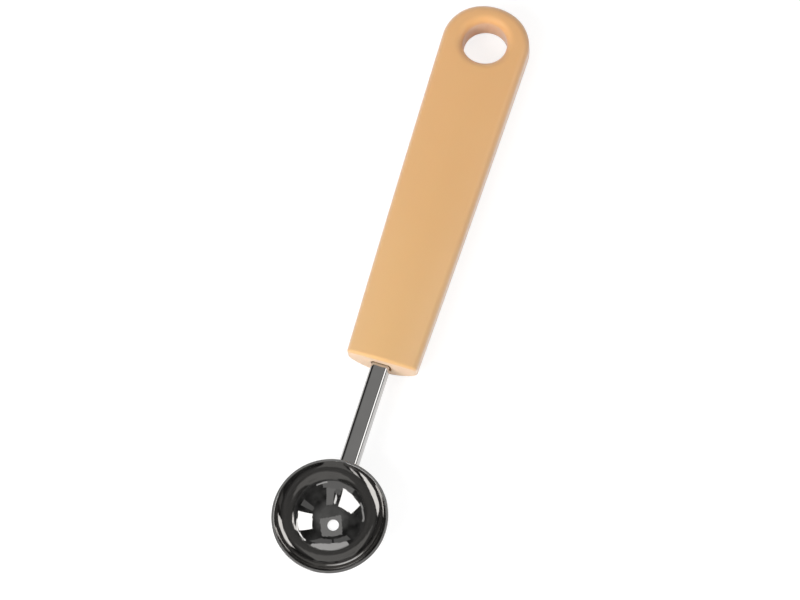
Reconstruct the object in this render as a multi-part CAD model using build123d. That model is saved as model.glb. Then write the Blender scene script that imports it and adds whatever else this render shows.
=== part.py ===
from build123d import *
import math
import os

# A melon baller lying on a table: the bowl is at the -Y end with its rim level, the handle runs
# along +Y and comes down to the table at its hanging end, and the tool is symmetric about X = 0.
# Millimetres and degrees.

# Bowl: a shallow cup pressed from stainless sheet, with a drain hole at its lowest point.
bowl_rim_diameter = 30.3
bowl_outer_depth = 10.9
bowl_sheet_thickness = 0.7
bowl_rim_rounding = 0.15
drain_hole_diameter = 3.0

# Stem: a square bar with rounded edges. Its end is fitted to the bowl's wall and welded to it
# under the rim.
stem_width = 4.85
stem_edge_radius = 1.1
stem_axis_below_rim = 3.6
stem_weld_rounding = 0.35
stem_reach = 42.9

# Tang: the buried length of the bar, pinched flat in two places so that the handle is keyed to it.
tang_length = 52.0
tang_end_chamfer = 0.8
pinch_width = 6.6
pinch_thickness = 3.4
pinch_length = 6.0
pinch_corner_radius = 1.2
first_pinch_depth = 20.0
second_pinch_depth = 38.0

# Handle: one plastic moulding, oval at the bowl end, wider and flatter at the hanging end. Its
# front face bows out towards the bowl, and its tail is rounder at the corners than at the end.
handle_length = 105.15
handle_width_at_bowl_end = 19.2
handle_width_at_tail = 23.9
handle_front_bow = 0.8
tail_corner_radius = 10.5
tail_end_radius = 14.5
handle_side_angle_at_tail = 1.0
handle_thickness_at_bowl_end = 11.6
handle_thickness_at_tail = 9.9
handle_side_height_at_bowl_end = 5.2
handle_side_height_at_tail = 8.0
handle_edge_radius = 2.3
handle_end_edge_radius = 0.9

# Hanging hole through the handle's tail, and the recess where the stem enters the handle.
hang_hole_diameter = 11.9
hang_hole_end_wall = 5.05
hang_hole_edge_radius = 2.0
stem_recess_margin = 0.35
stem_recess_depth = 0.8

# Gap left round the tang by the shrinking of the moulding, the overrun of every cut, and the
# most of a wall that a rounding may take.
moulding_gap = 0.05
overrun = 1.0
rounding_share = 0.9

# The bowl's two faces are concentric spheres.
bowl_rim_radius = bowl_rim_diameter / 2
bowl_outer_sphere = (bowl_rim_radius**2 + bowl_outer_depth**2) / (2 * bowl_outer_depth)
bowl_inner_sphere = bowl_outer_sphere - bowl_sheet_thickness

# The bowl rests on the edge of its drain hole, a little above the sphere's own lowest point.
drain_hole_radius = drain_hole_diameter / 2
resting_level = bowl_outer_sphere - math.sqrt(bowl_outer_sphere**2 - drain_hole_radius**2)

# Stem and handle share one axis, which crosses the bowl's own axis below the rim.
axis_height_at_bowl = bowl_outer_depth - stem_axis_below_rim
handle_start = stem_reach
handle_end = handle_start + handle_length
hang_hole_place = handle_end - hang_hole_end_wall - hang_hole_diameter / 2


def along_handle(place, at_bowl_end, at_tail):
    """Size at a place along the axis, growing or shrinking evenly from one end to the other."""
    return at_bowl_end + (at_tail - at_bowl_end) * (place - handle_start) / handle_length


# The axis leans down until the rounded lower edge of the tail touches the table.
edge_reach = handle_end - handle_edge_radius
edge_thickness = along_handle(edge_reach, handle_thickness_at_bowl_end, handle_thickness_at_tail)
edge_drop = edge_thickness / 2 - handle_edge_radius
edge_fall = axis_height_at_bowl - resting_level - handle_edge_radius
rest_angle = math.degrees(
    math.asin(edge_fall / math.hypot(edge_reach, edge_drop)) - math.atan2(edge_drop, edge_reach)
)
tool_axis = Location((0, 0, axis_height_at_bowl), (-rest_angle, 0, 0))


def bowl():
    """Cup between two concentric spheres, cut level at the rim, with rounded edges and a hole."""
    ball_centre = Location((0, 0, bowl_outer_sphere))
    shell = ball_centre * Sphere(bowl_outer_sphere) - ball_centre * Sphere(bowl_inner_sphere)
    above_rim = Box(
        4 * bowl_outer_sphere,
        4 * bowl_outer_sphere,
        2 * bowl_outer_sphere,
        align=(Align.CENTER, Align.CENTER, Align.MIN),
    )
    cup = shell - Location((0, 0, bowl_outer_depth)) * above_rim
    rim_edges = cup.edges().filter_by_position(Axis.Z, bowl_outer_depth, bowl_outer_depth)
    rim_rounding = min(bowl_rim_rounding, rounding_share * bowl_sheet_thickness / 2)
    cup = fillet(rim_edges, rim_rounding)
    return cup - Cylinder(drain_hole_radius, 2 * bowl_outer_depth)


def square_bar(length, grow):
    """Bar along +Y with rounded long edges, every side moved out by grow."""
    width = stem_width + 2 * grow
    bar = Box(width, length, width, align=(Align.CENTER, Align.MIN, Align.CENTER))
    return fillet(bar.edges().filter_by(Axis.Y), stem_edge_radius + grow)


def pinched_bar(length, grow):
    """Tang along +Y from the handle's end face, every face moved out by grow."""
    bar = square_bar(length, grow)
    bevel = min(tang_end_chamfer, rounding_share * stem_edge_radius)
    bar = chamfer(bar.edges().filter_by_position(Axis.Y, length, length), bevel)
    for depth in (first_pinch_depth, second_pinch_depth):
        squeezed = Box(2 * stem_width, pinch_length, 2 * stem_width)
        squeezed -= Box(2 * stem_width, pinch_length, pinch_thickness + 2 * grow)
        ears = Box(pinch_width + 2 * grow, pinch_length + 2 * grow, pinch_thickness + 2 * grow)
        ears = fillet(ears.edges().filter_by(Axis.Z), pinch_corner_radius)
        bar = bar - Location((0, depth, 0)) * squeezed + Location((0, depth, 0)) * ears
    return bar


def weld_line(edge):
    """True for an edge where one of the bar's faces meets the outer sphere."""
    middle = edge @ 0.5
    from_ball_centre = math.hypot(middle.X, middle.Y, bowl_outer_sphere - middle.Z)
    return middle.Y > 0 and abs(from_ball_centre - bowl_outer_sphere) < moulding_gap


def stem():
    """Bar from the bowl's wall to the end of the tang, its front end coped to the outer sphere."""
    inside_bowl = bowl_rim_radius / 2
    bar = Location((0, inside_bowl, 0)) * square_bar(stem_reach - inside_bowl, 0)
    bar = bar + Location((0, handle_start, 0)) * pinched_bar(tang_length, 0)
    seam_at_the_far_side = (0, 0, -90)
    ball = Location((0, 0, bowl_outer_sphere), seam_at_the_far_side) * Sphere(bowl_outer_sphere)
    joined = ball + tool_axis * bar
    joined = fillet([e for e in joined.edges() if weld_line(e)], stem_weld_rounding)
    return joined - ball


def half_plan_outline():
    """Right half of the handle seen from above: a slightly bowed side that runs into the tail."""
    half_start = handle_width_at_bowl_end / 2
    side = math.radians(handle_side_angle_at_tail)
    towards_tail = (math.sin(side), math.cos(side))
    towards_bowl = (-math.sin(side), -math.cos(side))

    # The corner's arc touches the tail's end arc from inside, where both have one normal. Its
    # centre stays on its own side of the axis.
    corner_radius = min(tail_corner_radius, rounding_share * handle_width_at_tail / 2)
    corner_x = handle_width_at_tail / 2 - corner_radius
    arc_difference = tail_end_radius - corner_radius
    end_arc_y = handle_end - tail_end_radius
    corner_y = end_arc_y + math.sqrt(arc_difference**2 - corner_x**2)
    stretch = tail_end_radius / arc_difference
    shoulder = (corner_x * stretch, end_arc_y + (corner_y - end_arc_y) * stretch)
    join_x = corner_x + corner_radius * math.cos(side)
    join_y = corner_y - corner_radius * math.sin(side)

    front_corner = (half_start, handle_start + handle_front_bow)
    edge = TangentArc((join_x, join_y), front_corner, tangent=towards_bowl)
    corner = TangentArc((join_x, join_y), shoulder, tangent=towards_tail)
    tail = TangentArc((0, handle_end), shoulder, tangent=(1, 0))
    middle = Line((0, handle_end), (0, handle_start))
    front = TangentArc((0, handle_start), front_corner, tangent=(1, 0))
    return make_face(Curve() + [edge, corner, tail, middle, front])


def crowned_section(place):
    """Section across the handle: two shallow arcs, carried a little past the handle's sides."""
    half_width = along_handle(place, handle_width_at_bowl_end, handle_width_at_tail) / 2
    top = along_handle(place, handle_thickness_at_bowl_end, handle_thickness_at_tail) / 2
    side = along_handle(place, handle_side_height_at_bowl_end, handle_side_height_at_tail) / 2
    arc_radius = (half_width**2 + (top - side) ** 2) / (2 * (top - side))
    reach = half_width + overrun
    low = top - arc_radius + math.sqrt(arc_radius**2 - reach**2)
    upper = ThreePointArc((-reach, low), (0, top), (reach, low))
    lower = ThreePointArc((-reach, -low), (0, -top), (reach, -low))
    sides = [Line((reach, low), (reach, -low)), Line((-reach, low), (-reach, -low))]
    plane = Plane(origin=(0, place, 0), x_dir=(1, 0, 0), z_dir=(0, -1, 0))
    return plane * make_face(Curve() + [upper, lower] + sides)


def free_edges(body):
    """Edges of a quarter or half of the handle that don't lie in its planes of symmetry."""
    edges = []
    for edge in body.edges():
        ends = [edge @ 0, edge @ 0.5, edge @ 1]
        across = max(abs(p.X) for p in ends)
        upright = max(abs(p.Z) for p in ends)
        if min(across, upright) > moulding_gap:
            edges.append(edge)
    return edges


def handle_right_half():
    """Right half of the solid moulding, its long edges and then its front edge rounded."""
    sections = [crowned_section(handle_start - overrun), crowned_section(handle_end + overrun)]
    outline = extrude(half_plan_outline(), handle_thickness_at_bowl_end)
    body = loft(sections, ruled=True) & outline
    front_reach = handle_start + handle_front_bow + moulding_gap
    long_edges = ShapeList(e for e in free_edges(body) if e.center().Y > front_reach)
    quarter = fillet(long_edges.filter_by(Axis.Z, reverse=True), handle_edge_radius)
    body = quarter + mirror(quarter, about=Plane.XY)
    end_edges = [e for e in free_edges(body) if e.center().Y < front_reach]
    return fillet(end_edges, handle_end_edge_radius)


def hole_rim(edge):
    """True for the edges where the hanging hole opens through the top or the underside."""
    middle = edge @ 0.5
    from_hole_centre = math.hypot(middle.X, middle.Y - hang_hole_place)
    along_rim = abs((edge @ 0).Z - (edge @ 1).Z) < overrun
    return along_rim and abs(from_hole_centre - hang_hole_diameter / 2) < moulding_gap


def handle():
    """Two mirrored halves with a rounded hanging hole, the stem's recess and the tang."""
    right_half = handle_right_half()
    body = right_half + mirror(right_half, about=Plane.YZ)

    hole = Rot(0, 0, 90) * Cylinder(hang_hole_diameter / 2, 2 * handle_thickness_at_bowl_end)
    body = body - Location((0, hang_hole_place, 0)) * hole
    width = along_handle(hang_hole_place, handle_width_at_bowl_end, handle_width_at_tail)
    side_wall = (width - hang_hole_diameter) / 2
    land = min(hang_hole_end_wall, side_wall) - handle_edge_radius
    rim_radius = min(hang_hole_edge_radius, rounding_share * land)
    body = fillet([e for e in body.edges() if hole_rim(e)], rim_radius)

    recess = square_bar(stem_recess_depth + overrun, stem_recess_margin)
    body = body - Location((0, handle_start - overrun, 0)) * recess
    cavity = pinched_bar(tang_length + moulding_gap, moulding_gap)
    return tool_axis * (body - Location((0, handle_start, 0)) * cavity)


parts = {"bowl": bowl(), "stem": stem(), "handle": handle()}

# The origin is under the middle of the whole tool, on the table.
whole = Compound(children=[Part(p.wrapped) for p in parts.values()]).bounding_box()
to_origin = Location((0, -(whole.min.Y + whole.max.Y) / 2, -resting_level))

os.makedirs("parts", exist_ok=True)
for name, solid in parts.items():
    export_step(to_origin * solid, os.path.join("parts", name + ".step"))

print("rest angle", round(rest_angle, 3), "degrees")
print("overall length", round(whole.size.Y, 2), "mm")
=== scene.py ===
import math

import bpy
import numpy as np
from mathutils import Matrix, Vector


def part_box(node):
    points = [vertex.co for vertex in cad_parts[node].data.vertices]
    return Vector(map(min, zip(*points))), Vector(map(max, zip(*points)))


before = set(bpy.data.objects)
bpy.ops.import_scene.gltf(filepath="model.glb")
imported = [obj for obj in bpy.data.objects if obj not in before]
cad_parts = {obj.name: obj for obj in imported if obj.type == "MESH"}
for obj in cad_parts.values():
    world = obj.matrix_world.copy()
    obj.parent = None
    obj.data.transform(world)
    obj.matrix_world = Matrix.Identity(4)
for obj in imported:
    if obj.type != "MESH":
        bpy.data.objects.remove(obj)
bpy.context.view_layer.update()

# Bowl: a cup pressed from stainless sheet, polished to a mirror inside and out, and welded to the
# end of the stem. The polishing wheel leaves faint rings round its axis and soft stains.
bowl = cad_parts["bowl"]
bowl_low, bowl_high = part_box("bowl")
bowl_axis_y = (bowl_low.y + bowl_high.y) / 2
rim_height = bowl_high.z
steel_colour = (0.62, 0.61, 0.595, 1)
steel_stain_colour = (0.52, 0.51, 0.50, 1)
stain_scale, stain_detail = 160.0, 4.0
clearest_stain, dullest_stain = 0.35, 0.75
clear_roughness, dull_roughness = 0.035, 0.075
line_distortion, line_detail = 1.5, 3.0
line_strength, line_depth = 0.05, 0.00002
bowl_line_scale = 700.0


def polished_steel(name, polish_axis, polish_direction, line_scale):
    """Mirror steel: a clear metal with polishing lines in its bump and soft stains in its gloss."""
    material = bpy.data.materials.new(name)
    material.use_nodes = True
    nodes, links = material.node_tree.nodes, material.node_tree.links
    surface = nodes["Principled BSDF"]
    surface.inputs["Metallic"].default_value = 1.0

    place = nodes.new("ShaderNodeTexCoord")
    centred = nodes.new("ShaderNodeMapping")
    centred.inputs["Location"].default_value = -Vector(polish_axis)
    links.new(place.outputs["Object"], centred.inputs["Vector"])

    stains = nodes.new("ShaderNodeTexNoise")
    stains.inputs["Scale"].default_value = stain_scale
    stains.inputs["Detail"].default_value = stain_detail
    links.new(centred.outputs["Vector"], stains.inputs["Vector"])
    tint = nodes.new("ShaderNodeMix")
    tint.data_type = "RGBA"
    tint.inputs["A"].default_value = steel_colour
    tint.inputs["B"].default_value = steel_stain_colour
    links.new(stains.outputs["Fac"], tint.inputs["Factor"])
    links.new(tint.outputs["Result"], surface.inputs["Base Color"])
    gloss = nodes.new("ShaderNodeMapRange")
    gloss.inputs["From Min"].default_value = clearest_stain
    gloss.inputs["From Max"].default_value = dullest_stain
    gloss.inputs["To Min"].default_value = clear_roughness
    gloss.inputs["To Max"].default_value = dull_roughness
    links.new(stains.outputs["Fac"], gloss.inputs["Value"])
    links.new(gloss.outputs["Result"], surface.inputs["Roughness"])

    lines = nodes.new("ShaderNodeTexWave")
    lines.wave_type = "RINGS"
    lines.rings_direction = polish_direction
    lines.inputs["Scale"].default_value = line_scale
    lines.inputs["Distortion"].default_value = line_distortion
    lines.inputs["Detail"].default_value = line_detail
    links.new(centred.outputs["Vector"], lines.inputs["Vector"])
    relief = nodes.new("ShaderNodeBump")
    relief.inputs["Strength"].default_value = line_strength
    relief.inputs["Distance"].default_value = line_depth
    links.new(lines.outputs["Fac"], relief.inputs["Height"])
    links.new(relief.outputs["Normal"], surface.inputs["Normal"])
    return material


bowl_steel = polished_steel("bowl_mirror_steel", (0, bowl_axis_y, 0), "Z", bowl_line_scale)
bowl.data.materials.clear()
bowl.data.materials.append(bowl_steel)

# Stem: a square stainless bar with rounded edges, ground along its length and polished after it is
# welded to the bowl. Its far end is buried in the handle.
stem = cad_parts["stem"]
stem_axis_height = 0.006
stem_line_scale = 500.0
stem_steel = polished_steel("stem_mirror_steel", (0, 0, stem_axis_height), "Y", stem_line_scale)
stem.data.materials.clear()
stem.data.materials.append(stem_steel)

# Handle: one moulding in a pale orange plastic, cast round the end of the stem. It is satin from
# the fine spark texture of its mould, softly clouded, and a little warmer towards its tail.
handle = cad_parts["handle"]
handle_low, handle_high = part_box("handle")
plastic_colour = (0.785, 0.477, 0.198, 1)
plastic_cloud_colour = (0.755, 0.448, 0.180, 1)
plastic_tail_tint = (1.0, 0.90, 0.84, 1)
plastic_ior = 1.5
soak_share, soak_depth = 0.12, 0.002
soak_by_colour = (1.0, 0.55, 0.25)
bloom_share, bloom_roughness = 1.0, 0.5
bloom_colour = (1.0, 0.94, 0.96, 1)
cloud_scale, cloud_detail = 45.0, 3.0
spark_scale, spark_detail = 2600.0, 2.0
smooth_spark_roughness, rough_spark_roughness = 0.42, 0.52
spark_strength, spark_depth = 0.15, 0.00004

plastic = bpy.data.materials.new("handle_satin_plastic")
plastic.use_nodes = True
nodes, links = plastic.node_tree.nodes, plastic.node_tree.links
surface = nodes["Principled BSDF"]
surface.inputs["IOR"].default_value = plastic_ior
surface.inputs["Subsurface Weight"].default_value = soak_share
surface.inputs["Subsurface Radius"].default_value = soak_by_colour
surface.inputs["Subsurface Scale"].default_value = soak_depth
surface.inputs["Sheen Weight"].default_value = bloom_share
surface.inputs["Sheen Roughness"].default_value = bloom_roughness
surface.inputs["Sheen Tint"].default_value = bloom_colour
place = nodes.new("ShaderNodeTexCoord")

clouds = nodes.new("ShaderNodeTexNoise")
clouds.inputs["Scale"].default_value = cloud_scale
clouds.inputs["Detail"].default_value = cloud_detail
links.new(place.outputs["Object"], clouds.inputs["Vector"])
tint = nodes.new("ShaderNodeMix")
tint.data_type = "RGBA"
tint.inputs["A"].default_value = plastic_colour
tint.inputs["B"].default_value = plastic_cloud_colour
links.new(clouds.outputs["Fac"], tint.inputs["Factor"])

length = nodes.new("ShaderNodeSeparateXYZ")
links.new(place.outputs["Object"], length.inputs[0])
towards_tail = nodes.new("ShaderNodeMapRange")
towards_tail.inputs["From Min"].default_value = handle_low.y
towards_tail.inputs["From Max"].default_value = handle_high.y
links.new(length.outputs["Y"], towards_tail.inputs["Value"])
warmth = nodes.new("ShaderNodeMix")
warmth.data_type = "RGBA"
warmth.blend_type = "MULTIPLY"
warmth.inputs["B"].default_value = plastic_tail_tint
links.new(towards_tail.outputs["Result"], warmth.inputs["Factor"])
links.new(tint.outputs["Result"], warmth.inputs["A"])
links.new(warmth.outputs["Result"], surface.inputs["Base Color"])

spark = nodes.new("ShaderNodeTexNoise")
spark.inputs["Scale"].default_value = spark_scale
spark.inputs["Detail"].default_value = spark_detail
links.new(place.outputs["Object"], spark.inputs["Vector"])
gloss = nodes.new("ShaderNodeMapRange")
gloss.inputs["To Min"].default_value = smooth_spark_roughness
gloss.inputs["To Max"].default_value = rough_spark_roughness
links.new(spark.outputs["Fac"], gloss.inputs["Value"])
links.new(gloss.outputs["Result"], surface.inputs["Roughness"])
relief = nodes.new("ShaderNodeBump")
relief.inputs["Strength"].default_value = spark_strength
relief.inputs["Distance"].default_value = spark_depth
links.new(spark.outputs["Fac"], relief.inputs["Height"])
links.new(relief.outputs["Normal"], surface.inputs["Normal"])
handle.data.materials.clear()
handle.data.materials.append(plastic)

# Floor: a plain matt white table top. It looks white to the camera and in the steel, keeps the
# tool's soft shadow, and throws light back at the sides and the underside.
floor_reach = 4.0
floor_drop = 0.00002
floor_roughness, floor_specular = 0.9, 0.1
floor_points = [
    (-floor_reach, -floor_reach, -floor_drop),
    (floor_reach, -floor_reach, -floor_drop),
    (floor_reach, floor_reach, -floor_drop),
    (-floor_reach, floor_reach, -floor_drop),
]
floor_mesh = bpy.data.meshes.new("floor")
floor_mesh.from_pydata(floor_points, [], [(0, 1, 2, 3)])
floor = bpy.data.objects.new("floor", floor_mesh)
bpy.context.scene.collection.objects.link(floor)


def seen_rays(nodes, links, by_camera, by_metal, otherwise):
    """Socket with one number for camera rays, one for metal and glass and one for other rays."""
    rays = nodes.new("ShaderNodeLightPath")
    total = None
    for kind, number in (
        ("Is Camera Ray", by_camera),
        ("Is Glossy Ray", by_metal),
        ("Is Transmission Ray", by_metal),
    ):
        share = nodes.new("ShaderNodeMath")
        share.operation = "MULTIPLY_ADD"
        share.inputs[1].default_value = number - otherwise
        share.inputs[2].default_value = otherwise
        links.new(rays.outputs[kind], share.inputs[0])
        if total is not None:
            links.new(total, share.inputs[2])
        total = share.outputs[0]
    return total


white = bpy.data.materials.new("white_table")
white.use_nodes = True
nodes, links = white.node_tree.nodes, white.node_tree.links
surface = nodes["Principled BSDF"]
surface.inputs["Roughness"].default_value = floor_roughness
surface.inputs["Specular IOR Level"].default_value = floor_specular
surface.inputs["Emission Color"].default_value = (1, 1, 1, 1)
floor_grey = seen_rays(nodes, links, by_camera=0.32, by_metal=0.42, otherwise=0.80)
floor_lift = seen_rays(nodes, links, by_camera=0.80, by_metal=0.55, otherwise=0.0)
links.new(floor_grey, surface.inputs["Base Color"])
links.new(floor_lift, surface.inputs["Emission Strength"])
floor_mesh.materials.append(white)

# Studio: a dark room over the table with two windows and grey cards, which only the steel mirrors.
# A direction is (degrees down from overhead, degrees round from +X towards +Y), seen from the bowl.
bowl_centre = Vector((0, bowl_axis_y, rim_height))
front_distance, card_distance, back_distance, rear_distance = 1.1, 1.2, 1.3, 1.35


def towards(down, around, distance):
    """Point at that distance from the bowl in that direction."""
    down, around = math.radians(down), math.radians(around)
    across = math.sin(down)
    direction = Vector((across * math.cos(around), across * math.sin(around), math.cos(down)))
    return bowl_centre + distance * direction


def only_mirrored(holder):
    """A surface that shows in polished metal and in nothing else."""
    holder.visible_camera = False
    holder.visible_diffuse = False
    holder.visible_transmission = False
    holder.visible_volume_scatter = False
    holder.visible_shadow = False


def glowing(name):
    """Material that only gives off light, and its emission node."""
    material = bpy.data.materials.new(name)
    material.use_nodes = True
    nodes, links = material.node_tree.nodes, material.node_tree.links
    nodes.remove(nodes["Principled BSDF"])
    light = nodes.new("ShaderNodeEmission")
    light.inputs["Color"].default_value = (1, 1, 1, 1)
    links.new(light.outputs[0], nodes["Material Output"].inputs["Surface"])
    return material, light


def card(name, corners, glow, distance=card_distance):
    """Evenly lit polygon whose corners lie in those directions."""
    mesh = bpy.data.meshes.new(name)
    points = [tuple(towards(down, around, distance)) for down, around in corners]
    mesh.from_pydata(points, [], [tuple(range(len(points)))])
    holder = bpy.data.objects.new(name, mesh)
    bpy.context.scene.collection.objects.link(holder)
    material, light = glowing(name)
    light.inputs["Strength"].default_value = glow
    mesh.materials.append(material)
    only_mirrored(holder)


def dark_room(radius, rings, segments):
    """Half sphere over the table: radius times (sin d cos a, sin d sin a, cos d) from the bowl.

    d grows from 0 overhead to 90 degrees at the table in rings, and a goes round in segments.
    """
    down = np.linspace(0, math.pi / 2, rings + 1)[:, None]
    around = (np.arange(segments) * math.tau / segments)[None, :]
    unit = np.stack(
        [np.sin(down) * np.cos(around), np.sin(down) * np.sin(around), np.cos(down) + 0 * around],
        axis=-1,
    )
    points = np.array(bowl_centre) + radius * unit.reshape(-1, 3)
    upper = np.arange(rings)[:, None] * segments
    step = np.arange(segments)[None, :]
    this, following = upper + step, upper + (step + 1) % segments
    faces = np.stack([this, following, following + segments, this + segments], axis=-1)
    mesh = bpy.data.meshes.new("dark_room")
    mesh.from_pydata(points.tolist(), [], faces.reshape(-1, 4).tolist())
    holder = bpy.data.objects.new("dark_room", mesh)
    bpy.context.scene.collection.objects.link(holder)
    return holder


room_radius, room_rings, room_segments = 1.6, 30, 72
low_wall_height, high_wall_height = 0.25, 0.50
low_wall_glow, high_wall_glow = 0.05, 0.028
clutter_scale, clutter_detail = 1.8, 3.0
clutter_low, clutter_high = 0.35, 0.65
clutter_dimmest_share, clutter_brightest_share = 0.5, 1.9
overhead_start, overhead_full, overhead_glow = 1.28, 1.50, 0.08

room = dark_room(room_radius, room_rings, room_segments)
wall, light = glowing("dark_room")
nodes, links = wall.node_tree.nodes, wall.node_tree.links
place = nodes.new("ShaderNodeTexCoord")
split = nodes.new("ShaderNodeSeparateXYZ")
links.new(place.outputs["Object"], split.inputs[0])
glow = nodes.new("ShaderNodeMapRange")
glow.inputs["From Min"].default_value = low_wall_height
glow.inputs["From Max"].default_value = high_wall_height
glow.inputs["To Min"].default_value = low_wall_glow
glow.inputs["To Max"].default_value = high_wall_glow
links.new(split.outputs["Z"], glow.inputs["Value"])
clutter = nodes.new("ShaderNodeTexNoise")
clutter.inputs["Scale"].default_value = clutter_scale
clutter.inputs["Detail"].default_value = clutter_detail
links.new(place.outputs["Object"], clutter.inputs["Vector"])
patches = nodes.new("ShaderNodeMapRange")
patches.inputs["From Min"].default_value = clutter_low
patches.inputs["From Max"].default_value = clutter_high
patches.inputs["To Min"].default_value = clutter_dimmest_share
patches.inputs["To Max"].default_value = clutter_brightest_share
links.new(clutter.outputs["Fac"], patches.inputs["Value"])
overhead = nodes.new("ShaderNodeMapRange")
overhead.inputs["From Min"].default_value = overhead_start
overhead.inputs["From Max"].default_value = overhead_full
overhead.inputs["To Max"].default_value = overhead_glow
links.new(split.outputs["Z"], overhead.inputs["Value"])
whole = nodes.new("ShaderNodeMath")
whole.operation = "MULTIPLY_ADD"
links.new(glow.outputs["Result"], whole.inputs[0])
links.new(patches.outputs["Result"], whole.inputs[1])
links.new(overhead.outputs["Result"], whole.inputs[2])
links.new(whole.outputs[0], light.inputs["Strength"])
room.data.materials.append(wall)
only_mirrored(room)

card("right_window", [(41.4, 51.1), (68.6, 45.6), (65.7, 9.9), (36, 6.8)], glow=2.0)
card("left_window", [(41.2, 204.9), (27.8, 253.3), (64.3, 259.9), (64.3, 214)], glow=2.0)
card("left_sliver", [(28.7, 267.9), (30.1, 274.6), (49.4, 271.9), (40, 267)], glow=1.4)
tail_band_top = [(58.5, 139.9), (52.4, 114.4), (55.5, 90), (65.3, 76.9)]
tail_band_foot = [(71, 76.9), (70.5, 108), (71, 140)]
card("tail_band", tail_band_top + tail_band_foot, glow=0.57)
tail_dim_left = [(61, 148), (48, 148), (43, 116), (54, 116)]
card("tail_dim_left", tail_dim_left, glow=0.14, distance=back_distance)
tail_dim_right = [(54, 112), (43, 112), (45, 84), (64, 70)]
card("tail_dim_right", tail_dim_right, glow=0.14, distance=back_distance)
card("ceiling", [(40.3, 141), (40.1, 85.2), (21, 22), (20.7, 213)], glow=0.28)
ceiling_shade = [(13, 92), (25, 100), (27, 146), (13, 160)]
card("ceiling_shade", ceiling_shade, glow=0.17, distance=front_distance)
front_grey = [(26, 278), (26, 306), (44, 297), (60, 294), (62, 271), (52, 277)]
card("front_grey", front_grey, glow=0.24, distance=back_distance)
front_grey_left = [(48, 262), (64, 262), (64, 274), (50, 276)]
card("front_grey_left", front_grey_left, glow=0.17, distance=back_distance)
front_low = [(62, 240), (62, 300), (75, 300), (75, 270), (75, 240)]
card("front_low", front_low, glow=0.2, distance=rear_distance)
card("front_streak", [(71.4, 290.4), (70.2, 310.8), (72.6, 310.8), (73.8, 290.4)], glow=0.57)
card("left_streak", [(66, 184), (66, 217), (70, 217), (70, 184)], glow=0.42)
right_streak_top = [(68.9, 65.8), (70.4, 43.5), (65.4, 24.3)]
right_streak_foot = [(67.6, 24.3), (73, 43.5), (71.2, 65.8)]
card("right_streak", right_streak_top + right_streak_foot, glow=1.6)
right_grey = [(38, 345), (38, 358), (65, 358), (65, 345)]
card("right_grey", right_grey, glow=0.13, distance=back_distance)


def softbox(name, down, around, width, height, turn, power):
    """Rectangular lamp in that direction, facing the bowl, turned about its own axis."""
    lamp = bpy.data.lights.new(name, "AREA")
    lamp.shape = "RECTANGLE"
    lamp.size, lamp.size_y = width, height
    lamp.energy = power
    holder = bpy.data.objects.new(name, lamp)
    bpy.context.scene.collection.objects.link(holder)
    place = towards(down, around, card_distance)
    facing = (place - bowl_centre).to_track_quat("Z", "Y").to_matrix().to_4x4()
    turned_face = facing @ Matrix.Rotation(math.radians(turn), 4, "Z")
    holder.matrix_world = Matrix.Translation(place) @ turned_face
    holder.visible_glossy = False


softbox("right_softbox", down=51.3, around=28.8, width=0.67, height=0.63, turn=-7.0, power=2.2)
softbox("left_softbox", down=47.1, around=232.8, width=0.80, height=0.62, turn=0.0, power=10.3)
softbox("front_fill", down=76.0, around=275.0, width=0.70, height=0.35, turn=0.0, power=5.4)

world = bpy.data.worlds.new("studio")
bpy.context.scene.world = world
world.use_nodes = True
nodes, links = world.node_tree.nodes, world.node_tree.links
backdrop = nodes["Background"]
backdrop.inputs["Color"].default_value = (1, 1, 1, 1)
sky = seen_rays(nodes, links, by_camera=1.0, by_metal=1.0, otherwise=0.45)
links.new(sky, backdrop.inputs["Strength"])

# Camera: above the bowl and to its right, with a long lens, as in the photograph. It turns about
# the upright axis first, then tilts, then rolls, and the bowl lies at the aim point of its view.
photo_width = 800
focal_pixels = 3000.0
sensor_width = 36.0
nearest, farthest = 0.05, 20.0
camera_tilt, camera_roll, camera_turn = -18.34, 11.63, -28.38
aim_x, aim_y, camera_distance = -0.01800, -0.05530, 0.76911
camera = bpy.data.cameras.new("camera")
camera.sensor_width = sensor_width
camera.lens = sensor_width * focal_pixels / photo_width
camera.clip_start, camera.clip_end = nearest, farthest
eye = bpy.data.objects.new("camera", camera)
bpy.context.scene.collection.objects.link(eye)
turned = (
    Matrix.Rotation(math.radians(camera_roll), 3, "Z")
    @ Matrix.Rotation(math.radians(camera_tilt), 3, "X")
    @ Matrix.Rotation(math.radians(camera_turn), 3, "Z")
)
back_to_row = turned.transposed()
stand = bowl_centre + back_to_row @ Vector((-aim_x, -aim_y, camera_distance))
eye.matrix_world = Matrix.Translation(stand) @ back_to_row.to_4x4()
bpy.context.scene.camera = eye

bpy.context.scene.view_settings.view_transform = "Standard"
